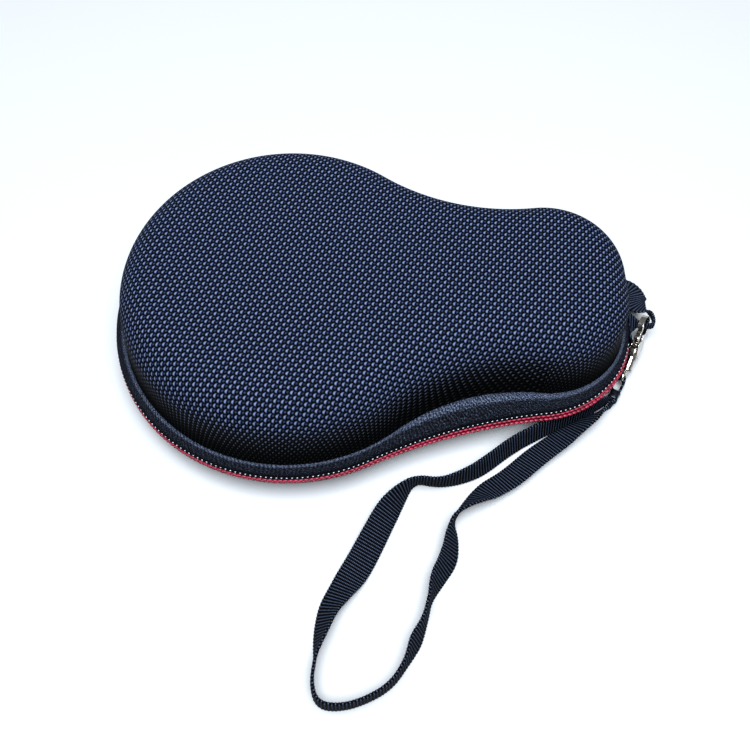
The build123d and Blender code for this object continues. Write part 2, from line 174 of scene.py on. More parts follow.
def woven(name, warp, weft, slant, bias, weft_share, stops, depth, **shader):
    """Plain weave on the piece's own UV in millimetres.

    warp and weft are the thread spacings, slant is how far the floats lean, bias turns the cloth in
    degrees, and weft_share is how bright the weft's painted glint is beside the warp's. The crowns of the
    floats are painted light as glints, and the gaps between them painted dark as shade."""
    made, tree, principled = material(name, **shader)
    flat = add(tree, "ShaderNodeUVMap", uv_map="cloth")
    place = add(tree, "ShaderNodeMapping", {"Vector": flat, "Rotation": (0, 0, radians(bias))})
    axes = add(tree, "ShaderNodeSeparateXYZ", {0: place})
    u = add(tree, "ShaderNodeMath", {0: axes.outputs["X"], 1: warp}, operation="DIVIDE")
    v = add(tree, "ShaderNodeMath", {0: axes.outputs["Y"], 1: weft}, operation="DIVIDE")
    crowns = []
    for across, along, share, hook in ((u, v, slant, 1.3), (v, u, slant * 0.6, 0.5)):
        # each float leans a little, as twisted yarn does, so its ridge runs aslant in its own cell
        start = add(tree, "ShaderNodeMath", {0: along, 1: 0.5}, operation="ADD")
        inside = add(tree, "ShaderNodeMath", {0: start}, operation="FRACT")
        centred = add(tree, "ShaderNodeMath", {0: inside, 1: 0.5}, operation="SUBTRACT")
        bent = add(tree, "ShaderNodeMath", {0: centred, 1: -hook, 2: -share}, operation="MULTIPLY_ADD")
        lean = add(tree, "ShaderNodeMath", {0: centred, 1: bent, 2: across}, operation="MULTIPLY_ADD")
        thread = add(tree, "ShaderNodeMath", {0: lean, 1: 0.5}, operation="ADD")
        index = add(tree, "ShaderNodeMath", {0: thread}, operation="FLOOR")
        place_in = add(tree, "ShaderNodeMath", {0: thread, 1: index}, operation="SUBTRACT")
        from_ridge = add(tree, "ShaderNodeMath", {0: place_in, 1: 0.5}, operation="SUBTRACT")
        squared = add(tree, "ShaderNodeMath", {0: from_ridge, 1: from_ridge}, operation="MULTIPLY")
        round_off = add(tree, "ShaderNodeMath", {0: squared, 1: -4.0, 2: 1.0}, operation="MULTIPLY_ADD")
        phase = add(tree, "ShaderNodeMath", {0: along, 1: index}, operation="ADD")
        over_first = pi if across is v else 0.0
        turn_by = add(tree, "ShaderNodeMath", {0: phase, 1: pi, 2: over_first}, operation="MULTIPLY_ADD")
        wave = add(tree, "ShaderNodeMath", {0: turn_by}, operation="COSINE")
        lift = add(tree, "ShaderNodeMath", {0: wave, 1: 0.5, 2: 0.5}, operation="MULTIPLY_ADD")
        crowns.append(add(tree, "ShaderNodeMath", {0: lift, 1: round_off}, operation="MULTIPLY"))
    height = add(tree, "ShaderNodeMath", {0: crowns[0], 1: crowns[1]}, operation="MAXIMUM")
    # painted highlight: the weft lies flatter, so its painted glint is drawn dimmer than the warp's
    dim_weft = add(tree, "ShaderNodeMath", {0: crowns[1], 1: weft_share}, operation="MULTIPLY")
    sheen = add(tree, "ShaderNodeMath", {0: crowns[0], 1: dim_weft}, operation="MAXIMUM")
    patch = 1.25
    uneven = add(tree, "ShaderNodeTexNoise", {"Vector": flat, "Scale": 1 / patch, "Detail": 2.0})
    worn = add(tree, "ShaderNodeMath", {0: uneven.outputs[0], 1: 0.5, 2: 0.75}, operation="MULTIPLY_ADD")
    # painted shade: below the lid's domed top, on the steep wall and over the whole base half, the glints
    # are drawn dimmer and the colour greyer, for the light that falls less there
    steep_up_to, domed_from = 36 * MM, 61 * MM
    solid = add(tree, "ShaderNodeSeparateXYZ", {0: add(tree, "ShaderNodeTexCoord").outputs["Object"]})
    painted_wall_shade, painted_wall_greying = (
        add(tree, "ShaderNodeMapRange", {
            "Value": solid.outputs["Z"], "From Min": steep_up_to, "From Max": domed_from,
            "To Min": least, "To Max": 1.0,
        })
        for least in (0.52, 0.3)
    )
    even = add(tree, "ShaderNodeMath", {0: sheen, 1: worn}, operation="MULTIPLY")
    shade = add(tree, "ShaderNodeMath", {0: even, 1: painted_wall_shade}, operation="MULTIPLY")
    # the ramp turns this into colour: the nylon's navy, painted glints on the crowns and painted shade in the
    # gaps
    dye_and_painted_glints = add(tree, "ShaderNodeValToRGB", {"Fac": shade}, stops)
    greyed_with_painted_shade = add(tree, "ShaderNodeHueSaturation", {"Color": dye_and_painted_glints, "Saturation": painted_wall_greying})
    surface(tree, principled, greyed_with_painted_shade, height, depth)
    return made


# coarse nylon with threads about 2 mm apart, moulded hot over the foam: plump floats, each with a
# painted glint, and painted shade in the dark gaps between them
ballistic_nylon = woven(
    "ballistic_nylon", 1.88, 2.5, 0.3, 7.0, 0.62,
    [
        (0.0, "000000"), (0.36, "010203"), (0.52, "0a0e17"),
        (0.61, "182037"), (0.72, "2b344b"), (1.0, "4a5165"),
    ],
    0.35, Roughness=0.7, Specular_IOR_Level=0.01,
)

# matt paper under the case, which takes a soft shadow and mirrors nothing
floor_paint = material("matt_paper_floor", Base_Color=colour("848587"), Roughness=0.9)[0]

floor_mesh = bpy.data.meshes.new("floor")
reach = 4
floor_mesh.from_pydata(
    [(-reach, -reach, 0), (reach, -reach, 0), (reach, reach, 0), (-reach, reach, 0)], [], [(0, 1, 2, 3)]
)
floor = bpy.data.objects.new("floor", floor_mesh)
floor_mesh.materials.append(floor_paint)
scene.collection.objects.link(floor)
floor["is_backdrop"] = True

# ---------------------------------------------------------------- outlines of the rim and the walls
band_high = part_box("upper_edge_binding")[1]
coil_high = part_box("lower_coil")[1]
cloth_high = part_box("upper_outer_fabric")[1]
# the coils stand a little apart, and the band is drawn in a little from the rim, in millimetres
coil_gap, band_inset = 0.1, 1.3
parting = coil_high.z + coil_gap * MM
blade_radius = coil_high.y
end_x = band_high.x + band_inset * MM
upper_depth = cloth_high.z - parting
lower_depth = parting - cad_low.z

# how far the wall stands in from the rim, round it and at the handle's end, in millimetres
flange, end_flange = 6.5, 5.5
# each outline's corner radius, its corner's place aside and its neck's radius, in millimetres
rim_corner, rim_corner_aside, rim_neck = 58.0, 5.7, 290.0
wall_corner, wall_corner_aside, wall_neck = 45.0, 7.5, 110.0


def gourd(blade_r, tip_x, corner_r, corner_y, neck_r):
    """Points round a gourd outline from the middle of its straight end, and the way out at each."""
    corner = np.array([tip_x - corner_r, corner_y])
    span = np.hypot(*corner)
    along = ((blade_r + neck_r) ** 2 - (corner_r + neck_r) ** 2 + span**2) / (2 * span)
    aside = sqrt((blade_r + neck_r) ** 2 - along**2)
    forward = corner / span
    neck = forward * along + np.array([-forward[1], forward[0]]) * aside
    blade_touch = atan2(neck[1], neck[0])
    corner_touch = atan2(neck[1] - corner[1], neck[0] - corner[0])
    points = [(tip_x, y) for y in np.linspace(0, corner_y, 5)[:-1]]
    out = [(1.0, 0.0)] * len(points)
    arcs = (
        (np.linspace(0, corner_touch, 41)[:-1], corner, corner_r),
        (np.linspace(corner_touch, blade_touch, 45)[:-1], neck, -neck_r),
        (np.linspace(blade_touch, pi, 91), np.zeros(2), blade_r),
    )
    for angles, middle, radius in arcs:
        for angle in angles:
            way = np.array([cos(angle), sin(angle)])
            points.append(tuple(middle + radius * way))
            out.append(tuple(way))
    flip = np.array([1, -1])
    points, out = np.array(points), np.array(out)
    points[-1, 1] = 0.0
    return np.concatenate([points, points[-2:0:-1] * flip]), np.concatenate([out, out[-2:0:-1] * flip])


def rim(inset):
    """The rim outline, drawn in by an inset in millimetres."""
    inset *= MM
    return gourd(
        blade_radius - inset, end_x - inset,
        rim_corner * MM - inset, rim_corner_aside * MM, rim_neck * MM + inset,
    )[0]


def wall_and_out(inset):
    """The moulded wall's outline at the flange, drawn in by an inset in millimetres, and the ways out."""
    inset *= MM
    return gourd(
        blade_radius - flange * MM - inset, end_x - end_flange * MM - inset,
        wall_corner * MM - inset, wall_corner_aside * MM, wall_neck * MM + inset,
    )


def wall(inset):
    return wall_and_out(inset)[0]


def between(first, second, share):
    return first * (1 - share) + second * share


def at_height(outline, side, height):
    """The outline as points at a height in millimetres from the parting plane, up for side 1."""
    return np.column_stack([outline, np.full(len(outline), parting + side * height * MM)])


def link(mesh, name=None):
    made = bpy.data.objects.new(name or mesh.name, mesh)
    scene.collection.objects.link(made)
    return made


def rows_to_mesh(name, rows, cloth, closed_round=True, closed_profile=False):
    """A mesh through rows of points, with cloth coordinates in millimetres on its UV map."""
    rows = np.asarray(rows)
    count, around = rows.shape[:2]
    spans = range(around if closed_round else around - 1)
    faces = []
    for k in range(count if closed_profile else count - 1):
        for i in spans:
            faces.append(((k, i), (k + 1, i), (k + 1, i + 1), (k, i + 1)))
    mesh = bpy.data.meshes.new(name)
    mesh.from_pydata(
        rows.reshape(-1, 3).tolist(), [],
        [[(k % count) * around + i % around for k, i in face] for face in faces],
    )
    layer = mesh.uv_layers.new(name="cloth")
    flat = np.array([cloth[k][i] for face in faces for k, i in face], dtype=float)
    layer.data.foreach_set("uv", flat.ravel())
    mesh.shade_smooth()
    return mesh


def outward(mesh, merge=0.02 * MM):
    """Merge doubles and turn every face outwards."""
    work = bmesh.new()
    work.from_mesh(mesh)
    bmesh.ops.remove_doubles(work, verts=work.verts, dist=merge)
    bmesh.ops.recalc_face_normals(work, faces=work.faces)
    work.to_mesh(mesh)
    work.free()
    mesh.shade_smooth()
    return mesh


# ---------------------------------------------------------------- moulded halves
def wall_profile(depth, crown):
    """(inset, height) in millimetres up the moulded wall and round its crown."""
    taper = radians(5.0)
    draft_from, foot = 8.0, 8.8
    profile = [(-3.0, 7.5), (-0.9, 7.6), (-0.25, draft_from), (0.0, foot)]
    # the arc of the crown meets the drafted wall and the flat top
    crown_low = depth - crown * (1 - sin(taper))
    lean = (crown_low - draft_from) * tan(taper)
    for share in np.linspace(0, 1, 9)[1:]:
        height = foot + (crown_low - foot) * share
        profile.append(((height - draft_from) * tan(taper), height))
    middle = lean + crown * cos(taper)
    for angle in np.linspace(taper, pi / 2, 17)[1:]:
        profile.append((middle - crown * cos(angle), depth - crown + crown * sin(angle)))
    return profile


def moulded_cloth(name, side, depth, crown, doming, thick=0.6):
    """The outer fabric of one half: up the wall, round the crown and over the top, with its inside."""
    profile = wall_profile(depth, crown)
    rows, cloth = [], []
    edge_inset = profile[-1][0]
    edge, out = wall_and_out(edge_inset)
    lengths = [0.0]
    for (s0, z0), (s1, z1) in zip(profile[::-1], profile[-2::-1]):
        lengths.append(lengths[-1] + sqrt((s1 - s0) ** 2 + (z1 - z0) ** 2))
    for (inset, height), length in zip(profile, lengths[::-1]):
        rows.append(at_height(wall(inset), side, height))
        cloth.append(edge / MM + out * length)
    # the top runs in level rows, then gathers to the line down the middle
    level_to, middle_inset = 41.0, 60.0
    line_start, line_end_gap = -30.0, 12.0
    insets = list(np.linspace(edge_inset, level_to, 7)[1:])
    tops = [wall(inset) for inset in insets]
    ring = tops[-1]
    low, high = ring[:, 0].min(), ring[:, 0].max()
    line_x = np.interp(ring[:, 0], [low, high], [line_start * MM, high - line_end_gap * MM])
    gathered_to = np.column_stack([line_x, ring[:, 1] * 0])
    for share in np.linspace(0, 1, 9)[1:]:
        insets.append(level_to + (middle_inset - level_to) * share)
        tops.append(between(ring, gathered_to, share))
    for inset, points in zip(insets, tops):
        rise = doming * (1 - ((middle_inset - inset) / (middle_inset - edge_inset)) ** 2)
        rows.append(at_height(points, side, depth + rise))
        cloth.append(points / MM)
    closed = [np.vstack([c, c[:1]]) for c in cloth]
    outer = outward(rows_to_mesh(name, rows, closed))
    if sum(face.normal.z * face.area for face in outer.polygons) * side < 0:
        outer.flip_normals()
    piece = link(outer)
    shell = piece.modifiers.new("thickness", "SOLIDIFY")
    shell.thickness = thick * MM
    shell.offset = -1
    return piece


crown_radius, lower_crown_radius = 21.0, 12.0
for name, node, side, body, depth, crown, doming in (
    ("lid_nylon", "upper_outer_fabric", 1, "lid", upper_depth, crown_radius, 0.9),
    ("base_nylon", "lower_outer_fabric", -1, "case_base", lower_depth, lower_crown_radius, 0.0),
):
    cloth_shell = moulded_cloth(name, side, depth / MM, crown, doming)
    cloth_shell.data.materials.append(ballistic_nylon)
    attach(cloth_shell, body)
    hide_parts(node)

# ---------------------------------------------------------------- knitted edge bindings
# knitted polyester tape, brushed: a matt face with slanting ribs and pale fuzz, and hardly a glint
knitted_band, tree, principled = material("knitted_binding", Roughness=0.9, Specular_IOR_Level=0.02)
rib_spacing, rib_lean, fuzz_size = 1.309, 0.9, 0.8333
place = add(tree, "ShaderNodeUVMap", uv_map="cloth")
axes = add(tree, "ShaderNodeSeparateXYZ", {0: place})
stitches = add(tree, "ShaderNodeMapping", {"Vector": place, "Rotation": (0, 0, rib_lean)})
ribs = add(tree, "ShaderNodeTexWave", {
    "Vector": stitches, "Scale": pi / 10 / rib_spacing, "Distortion": 7.0, "Detail": 2.0, "Detail Scale": 2.0,
})
fuzz = add(tree, "ShaderNodeTexNoise", {
    "Vector": place, "Scale": 1 / fuzz_size, "Detail": 3.0, "Roughness": 0.8,
})
raised = add(
    tree, "ShaderNodeMath", {0: ribs.outputs["Fac"], 1: 0.14, 2: fuzz.outputs[0]}, operation="MULTIPLY_ADD"
)
# painted shade: the outer side is drawn darker than the top, whose pale fuzz shows more
painted_side_shade = add(tree, "ShaderNodeMapRange", {
    "Value": axes.outputs["Y"], "From Min": 4.2, "From Max": 6.5, "To Min": 1.0, "To Max": 0.8,
})
mixed = add(tree, "ShaderNodeMath", {0: raised, 1: painted_side_shade}, operation="MULTIPLY")
shades = add(tree, "ShaderNodeValToRGB", {"Fac": mixed}, [
    (0.38, "010102"), (0.46, "050609"), (0.53, "10131a"), (0.61, "272d3a"), (0.72, "4c5466"),
])
surface(tree, principled, shades, raised, 0.4)


def round_lengths(outline):
    """How far round each point of an outline is, in millimetres, and the whole way at the end."""
    steps = np.linalg.norm(np.roll(outline, -1, axis=0) - outline, axis=1) / MM
    return np.concatenate([[0.0], np.cumsum(steps)])


def edge_band(name, side, tuck):
    """Binding folded over the flange: from the wall's foot, out over the rim and down to the chain.

    tuck is how far the band draws in by the flange, in millimetres."""
    foot = wall(-0.1)
    spine = rim(band_inset + tuck)
    profile = [
        (foot, 7.45), (foot, 8.1), (between(foot, spine, 0.2), 8.45), (between(foot, spine, 0.5), 8.55),
        (between(foot, spine, 0.78), 8.3), (rim(1.75 + tuck), 7.9), (rim(1.38 + tuck), 7.3),
        (rim(1.22 + tuck * 0.8), 6.5), (rim(1.2 + tuck * 0.6), 5.6),
        (rim(1.3 + tuck * 0.4), 5.0), (rim(1.55 + tuck * 0.3), 4.7), (rim(1.85 + tuck * 0.3), 4.9),
        (rim(1.9 + tuck * 0.6), 5.6), (rim(1.9 + tuck * 0.8), 6.6), (rim(2.4 + tuck), 7.35),
        (between(foot, spine, 0.5), 7.45),
    ]
    rows = [at_height(points, side, height) for points, height in profile]
    around = round_lengths(spine)
    lengths = [0.0]
    for before, here in zip(rows, rows[1:] + rows[:1]):
        lengths.append(lengths[-1] + np.linalg.norm(here - before, axis=1).mean() / MM)
    cloth = [np.column_stack([around, np.full(len(around), length)]) for length in lengths]
    return link(outward(rows_to_mesh(name, rows, cloth, closed_profile=True)))


for half, side, body, tuck in (("upper", 1, "lid", 0.0), ("lower", -1, "case_base", 2.6)):
    band = edge_band(f"{half}_knit_band", side, tuck)
    band.data.materials.append(knitted_band)
    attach(band, body)
    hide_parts(f"{half}_edge_binding")

# ---------------------------------------------------------------- zipper chain, repeated along the rim
def filament(name, grain, stops, painted_shade_span=None, **shader):
    """Thread or filament whose tone varies with a grain in millimetres and, where given, with height: painted
    shade, darker low down.
    """
    made, tree, principled = material(name, **shader)
    place = add(tree, "ShaderNodeTexCoord").outputs["Object"]
    tone = add(tree, "ShaderNodeTexNoise", {"Vector": place, "Scale": 1 / (grain * MM)})
    if painted_shade_span:
        # painted shade: the tone is drawn darker low down and lighter higher up
        solid = add(tree, "ShaderNodeSeparateXYZ", {0: place})
        lit = add(tree, "ShaderNodeMapRange", {
            "Value": solid.outputs["Z"], "From Min": painted_shade_span[0], "From Max": painted_shade_span[1],
            "To Min": -0.2, "To Max": 0.2,
        })
        tone = add(tree, "ShaderNodeMath", {0: tone, 1: lit}, operation="ADD")
    surface(tree, principled, add(tree, "ShaderNodeValToRGB", {"Fac": tone}, stops))
    return made


# drawn nylon, dyed: smooth red turns with a soft sheen, drawn darker low down as painted shade
red_nylon = filament(
    "red_nylon_monofilament", 1.4286, [(0.3, "3c0510"), (0.75, "74142a")], (18.0 * MM, 20.8 * MM),
    Roughness=0.4, Specular_IOR_Level=0.2,
)
# waxed polyester thread: short stitches drawn pale as painted highlights, for the glints along the black row
pale_glint_thread = filament(
    "pale_sewing_thread", 1.111, [(0.3, "6e737e"), (0.6, "a6aab3")], Roughness=0.4, Specular_IOR_Level=0.2
)
# dull polyester thread: matt black stitches that sink into the tape
black_thread = filament(
    "black_sewing_thread", 1.111, [(0.3, "010102"), (0.7, "06080c")], Roughness=0.8, Specular_IOR_Level=0.02
)


def chain_line(inset, far_start, spread=0.0, near_end=-20.3):
    """The part of a rim outline that carries the chain, from the far side round to the near side.

    spread lets the row out along the handle, in millimetres, where the two coils part a little."""
    parts_from, parts_over, handle_end = 10.0, 80.0, 30.0
    outline = rim(inset)
    share = np.clip((outline[:, :1] / MM - parts_from) / parts_over, 0, 1)
    outline = between(outline, rim(inset - spread), share)
    fine = []
    for before, here in zip(outline, np.roll(outline, -1, axis=0)):
        for share in np.linspace(0, 1, 5)[:-1]:
            fine.append(between(before, here, share))
    fine = np.array(fine)
    at_end = fine[:, 0] > end_x - handle_end * MM
    open_end = at_end & (fine[:, 1] < far_start * MM) & (fine[:, 1] > near_end * MM)
    return fine[~open_end]


def oval(name, size, slant=0.0, segments=8, rings=5):
    """A small rounded bead of the given size in millimetres, leaning along its row."""
    work = bmesh.new()
    bmesh.ops.create_uvsphere(work, u_segments=segments, v_segments=rings, radius=0.5)
    for vert in work.verts:
        x, y, z = vert.co
        # fuller than a ball, as a filament's bend is
        fullness = 0.8
        z = 0.5 * np.sign(z) * abs(2 * z) ** fullness
        vert.co = Vector((x * size[0] + z * slant, y * size[1], z * size[2])) * MM
    mesh = bpy.data.meshes.new(name)
    work.to_mesh(mesh)
    work.free()
    mesh.shade_smooth()
    return mesh


def repeat_tree():
    """Geometry Nodes that set copies of one element along a line, upright and facing along it."""
    tree = bpy.data.node_groups.new("elements_along_a_line", "GeometryNodeTree")
    sockets = (
        ("Line", "NodeSocketGeometry"), ("Element", "NodeSocketObject"),
        ("Pitch", "NodeSocketFloat"), ("Finish", "NodeSocketMaterial"),
    )
    for name, kind in sockets:
        tree.interface.new_socket(name, in_out="INPUT", socket_type=kind)
    tree.interface.new_socket("Row", in_out="OUTPUT", socket_type="NodeSocketGeometry")
    given = add(tree, "NodeGroupInput")
    curve = add(tree, "GeometryNodeMeshToCurve", {0: given.outputs["Line"]})
    spaced = add(
        tree, "GeometryNodeResampleCurve", {"Curve": curve, "Length": given.outputs["Pitch"]}, mode="LENGTH"
    )
    tangent = add(tree, "GeometryNodeInputTangent")
    facing = add(
        tree, "FunctionNodeAxesToRotation", {"Primary Axis": (0.0, 0.0, 1.0), "Secondary Axis": tangent},
        primary_axis="Z", secondary_axis="X",
    )
    element = add(tree, "GeometryNodeObjectInfo", {"Object": given.outputs["Element"]})
    copies = add(tree, "GeometryNodeInstanceOnPoints", {
        "Points": spaced, "Instance": element.outputs["Geometry"], "Rotation": facing,
    })
    solid = add(tree, "GeometryNodeRealizeInstances", {0: copies})
    finished = add(tree, "GeometryNodeSetMaterial", {"Geometry": solid, "Material": given.outputs["Finish"]})
    add(tree, "NodeGroupOutput", {0: finished})
    return tree


elements_along = repeat_tree()


def row_of(name, line, element_mesh, pitch, finish):
    """A plain mesh of elements set along a line of points, by the node tree above."""
    mesh = bpy.data.meshes.new(name + "_line")
    mesh.from_pydata([tuple(p) for p in line], [(i, i + 1) for i in range(len(line) - 1)], [])
    holder = link(mesh)
    element = link(element_mesh)
    nodes = holder.modifiers.new("row", "NODES")
    nodes.node_group = elements_along
    tree_inputs = [item for item in elements_along.interface.items_tree if item.in_out == "INPUT"]
    sockets = {item.name: item.identifier for item in tree_inputs}
    nodes[sockets["Element"]] = element
    nodes[sockets["Pitch"]] = pitch * MM
    nodes[sockets["Finish"]] = finish
    graph = bpy.context.evaluated_depsgraph_get()
    made = bpy.data.meshes.new_from_object(holder.evaluated_get(graph))
    made.name = name
    for scrap in (holder, element):
        bpy.data.objects.remove(scrap)
    return link(made, name)


# the turns are drawn farther apart than a real coil's, so that each one shows
chain_pitch = 2.7
# for each half: where its chain starts, how far it parts, the insets and heights of its rows
# and how tall its black stitches are
for half, side, body, far_start, spread, insets, heights, stitch_tall in (
    ("upper", 1, "lid", 40.3, 0.0, (1.0, 1.15, 0.6), (0.83, 3.1, 4.3), 3.5),
    ("lower", -1, "case_base", 28.5, 1.1, (1.0, 1.8, 1.1), (1.2, 2.6, 2.75), 2.1),
):
    tooth = oval("tooth", (3.1, 1.9, 1.3), 0.7 * side)
    black_stitch = oval("black_stitch", (2.2, 1.4, stitch_tall), 0.4 * side)
    pale_stitch = oval("pale_stitch", (0.85, 0.4, 0.7), 0.25 * side)
    # a row's piece, the node it replaces, its slot, how far it parts, its bead, pitch and material
    rows = (
        ("red_coil", "coil", "red_coil", spread, tooth, chain_pitch, red_nylon),
        (
            "black_stitches", "coil_stitching", "coil_stitching", 0,
            black_stitch, chain_pitch / 2, black_thread,
        ),
        # stitches drawn pale, standing in for the glints along the black row: painted highlights
        ("pale_stitches", None, "coil_stitching", 0, pale_stitch, chain_pitch, pale_glint_thread),
    )
    for (name, node, slot, parted, bead, pitch, finish), inset, height in zip(rows, insets, heights):
        line = at_height(chain_line(inset, far_start, parted), side, height)
        row = row_of(f"{half}_{name}", line, bead, pitch, finish)
        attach(row, body)
        if node:
            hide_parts(f"{half}_{node}")

# ---------------------------------------------------------------- webbing: carry loop and wrist strap
def webbing(name, rib, stops, depth, **shader):
    """Narrow woven webbing on its own UV in millimetres, u along it and v across it."""
    made, tree, principled = material(name, **shader)
    flat = add(tree, "ShaderNodeUVMap", uv_map="cloth")
    axes = add(tree, "ShaderNodeSeparateXYZ", {0: flat})
    along = add(tree, "ShaderNodeMath", {0: axes.outputs["X"], 1: rib}, operation="DIVIDE")
    round_rib = add(tree, "ShaderNodeMath", {0: along, 1: 2 * pi}, operation="MULTIPLY")
    wave = add(tree, "ShaderNodeMath", {0: round_rib}, operation="COSINE")
    crown = add(tree, "ShaderNodeMath", {0: wave, 1: 0.5, 2: 0.5}, operation="MULTIPLY_ADD")
    # the warp threads pass over each rib in turn, so a rib is a row of short floats
    float_spacing, patch = 0.95, 1.818
    row = add(tree, "ShaderNodeMath", {0: along}, operation="ROUND")
    aside = axes.outputs["Y"]
    over = add(tree, "ShaderNodeMath", {0: aside, 1: 2 * pi / float_spacing}, operation="MULTIPLY")
    phase = add(tree, "ShaderNodeMath", {0: row, 1: pi, 2: over}, operation="MULTIPLY_ADD")
    across = add(tree, "ShaderNodeMath", {0: phase}, operation="COSINE")
    floats = add(tree, "ShaderNodeMath", {0: across, 1: 0.22, 2: 0.78}, operation="MULTIPLY_ADD")
    height = add(tree, "ShaderNodeMath", {0: crown, 1: floats}, operation="MULTIPLY")
    uneven = add(tree, "ShaderNodeTexNoise", {"Vector": flat, "Scale": 1 / patch, "Detail": 3.0})
    worn = add(tree, "ShaderNodeMath", {0: uneven.outputs[0], 1: 0.5, 2: 0.75}, operation="MULTIPLY_ADD")
    # painted highlight and shade: each float's crown is drawn pale, the hollows between the ribs near black
    shade = add(tree, "ShaderNodeMath", {0: height, 1: worn}, operation="MULTIPLY")
    surface(tree, principled, add(tree, "ShaderNodeValToRGB", {"Fac": shade}, stops), height, depth)
    return made


strap_rib, loop_rib = 1.7, 1.35
# woven polyester: dull cross ribs, each a row of short floats whose crown is drawn paler as a painted
# highlight
strap_webbing = webbing(
    "polyester_strap_webbing", strap_rib,
    [(0.0, "000000"), (0.35, "010102"), (0.6, "090c12"), (0.9, "2d3545")], 0.3,
    Roughness=0.8, Specular_IOR_Level=0.02,
)
# woven nylon: finer cross ribs and a flatter, bluer face, its float crowns too drawn paler as a painted
# highlight
loop_webbing = webbing(
    "nylon_loop_webbing", loop_rib,
    [(0.0, "010102"), (0.3, "05070b"), (0.6, "121722"), (0.95, "2a3140")], 0.25,
    Roughness=0.8, Specular_IOR_Level=0.02,
)


def soft_line(name, points):
    """Fine points along the NURBS spline that has these control points."""
    data = bpy.data.curves.new(name, "CURVE")
    data.dimensions = "3D"
    data.resolution_u = 16
    spline = data.splines.new("NURBS")
    spline.points.add(len(points) - 1)
    for knot, place in zip(spline.points, points):
        knot.co = (*place, 1.0)
    spline.order_u = 3
    spline.use_endpoint_u = True
    holder = link(data)
    mesh = bpy.data.meshes.new_from_object(holder)
    fine = np.array([vert.co for vert in mesh.vertices])
    bpy.data.objects.remove(holder)
    bpy.data.meshes.remove(mesh)
    return fine


def along_knots(fine, values):
    """A value per control point, spread along the fine points of their quadratic spline."""
    spans = len(values) - 2
    knots = np.concatenate([[0.0], np.arange(1, spans + 1) - 0.5, [spans]])
    return np.interp(np.linspace(0, spans, len(fine)), knots, values)


def ribbon(name, fine, leans, widths, thick, rib):
    """Ribbed webbing along fine points; a lean of 0 degrees lies flat and 90 stands on edge."""
    lengths = np.concatenate([[0.0], np.cumsum(np.linalg.norm(np.diff(fine, axis=0), axis=1))])
    steps_per_rib = 4
    count = int(lengths[-1] / (rib * MM / steps_per_rib)) + 1
    stations = np.linspace(0, lengths[-1], count)
    path = np.column_stack([np.interp(stations, lengths, fine[:, axis]) for axis in range(3)])
    lean = np.radians(np.interp(stations, lengths, leans))
    # a twist comes on over several ribs, so the leans are evened out along the webbing
    reach = 7
    lean = np.convolve(np.pad(lean, reach, "edge"), np.full(2 * reach + 1, 1 / (2 * reach + 1)), "valid")
    width = np.interp(stations, lengths, widths)
    ahead = np.gradient(path, axis=0)
    ahead /= np.linalg.norm(ahead, axis=1)[:, None]
    level = np.column_stack([-ahead[:, 1], ahead[:, 0], np.zeros(count)])
    level /= np.linalg.norm(level, axis=1)[:, None]
    upright = np.cross(ahead, level)
    across = np.cos(lean)[:, None] * level + np.sin(lean)[:, None] * upright
    facing = np.cos(lean)[:, None] * upright - np.sin(lean)[:, None] * level
    # round the selvages of the section, which runs over the face and back under
    selvage = [(-1.0, 0.0), (-0.985, 0.62)]
    face = selvage + [(v, 1.0) for v in (-0.93, -0.6, -0.2, 0.2, 0.6, 0.93)] + [(0.985, 0.62)]
    section = np.array(face + [(-v, -n) for v, n in face])
    rise = np.cos(stations / MM / rib * 2 * pi)
    rib_out, rib_up = 0.16, 0.12
    rows = [np.tile(path[0], (len(section), 1))]
    cloth = [np.column_stack([np.zeros(len(section) + 1), np.append(section[:, 0], -1.0) * width[0] / 2])]
    for k in range(count):
        half = (width[k] / 2 + rib_out * rise[k]) * MM
        deep = (thick / 2 + rib_up * rise[k]) * MM
        rows.append(path[k] + section[:, :1] * half * across[k] + section[:, 1:] * deep * facing[k])
        places = np.append(section[:, 0], -1.0) * width[k] / 2
        cloth.append(np.column_stack([np.full(len(places), stations[k] / MM), places]))
    rows.append(np.tile(path[-1], (len(section), 1)))
    cloth.append(cloth[-1])
    return link(outward(rows_to_mesh(name, rows, cloth)), name), path


# control points of the strap's line: x, y in millimetres and its lean in degrees
strap_route = [
    (177.3, -45.4, -90), (170.0, -49.6, -86), (155.4, -56.1, -82), (138.0, -64.5, -78), (121.0, -73.0, -74),
    (103.0, -87.0, -74), (91.0, -92.6, -84), (79.0, -95.6, -95), (67.0, -93.0, -98), (58.5, -101.0, -66),
    (51.8, -109.5, -38), (44.1, -124.0, -24), (35.8, -139.5, -8), (27.0, -152.5, 28), (21.0, -161.5, 44),
    (17.2, -174.0, 62), (14.6, -186.5, 86), (12.8, -198.0, 86), (16.0, -208.3, 88), (27.5, -209.6, 90),
    (40.0, -206.0, 90), (51.5, -199.5, 88), (59.0, -189.0, 84), (64.0, -178.5, 68), (69.0, -168.5, 82),
    (71.8, -157.5, 84), (75.8, -147.5, 62), (83.0, -136.5, 52), (84.9, -124.0, 64), (86.0, -114.5, 92),
    (95.0, -107.0, 118), (106.0, -99.0, 150), (119.0, -91.5, 154), (133.5, -79.0, 154), (148.0, -69.2, 148),
    (164.0, -58.3, 124), (179.9, -47.1, 90),
]
strap_wide, strap_thick, gathered = 15.0, 1.5, 8.4
knot_leans = np.array([lean for x, y, lean in strap_route], dtype=float)
knot_widths = np.array([gathered] + [strap_wide] * (len(strap_route) - 2) + [gathered])
